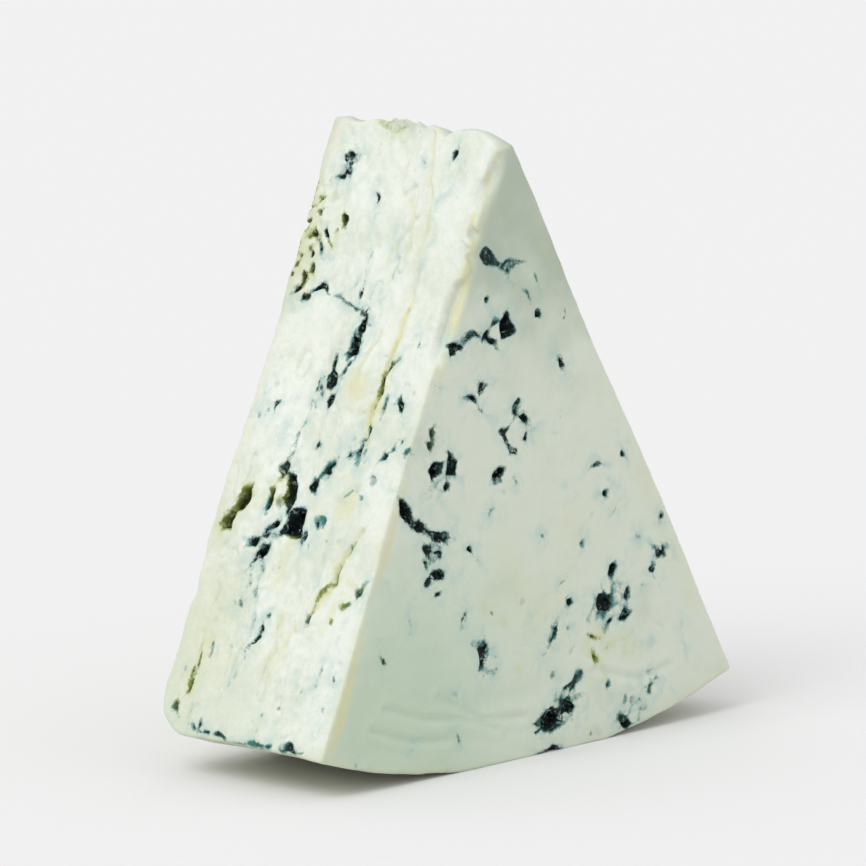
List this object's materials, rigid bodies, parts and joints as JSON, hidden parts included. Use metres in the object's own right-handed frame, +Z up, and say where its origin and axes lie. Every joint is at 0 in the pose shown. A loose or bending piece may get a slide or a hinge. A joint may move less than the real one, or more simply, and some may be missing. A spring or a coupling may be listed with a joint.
{
  "type": "blue cheese wedge",
  "caption": "Tall wedge of blue-veined cheese cut from a low wheel, standing on its rind with the tip upwards; one torn side, one clean-cut side, mould cavities throughout.",
  "frame": {"origin": "under the middle of the wedge, on the surface that its rind stands on", "axes": "+Z up to the tip, Y along the wheel's axis with the freshly cut end towards -Y and the wheel's own rounded end towards +Y, -X towards the torn side"},
  "size_m": [0.0862, 0.039, 0.0974],
  "materials": {
    "cheese": "ivory blue-veined paste, waxy and slightly moist on the cut faces, crumbly and matt on the torn side, with dark teal and olive mould in the cavities"
  },
  "bodies": {
    "root": {"cheese_wedge": "cheese"}
  },
  "joints": []
}
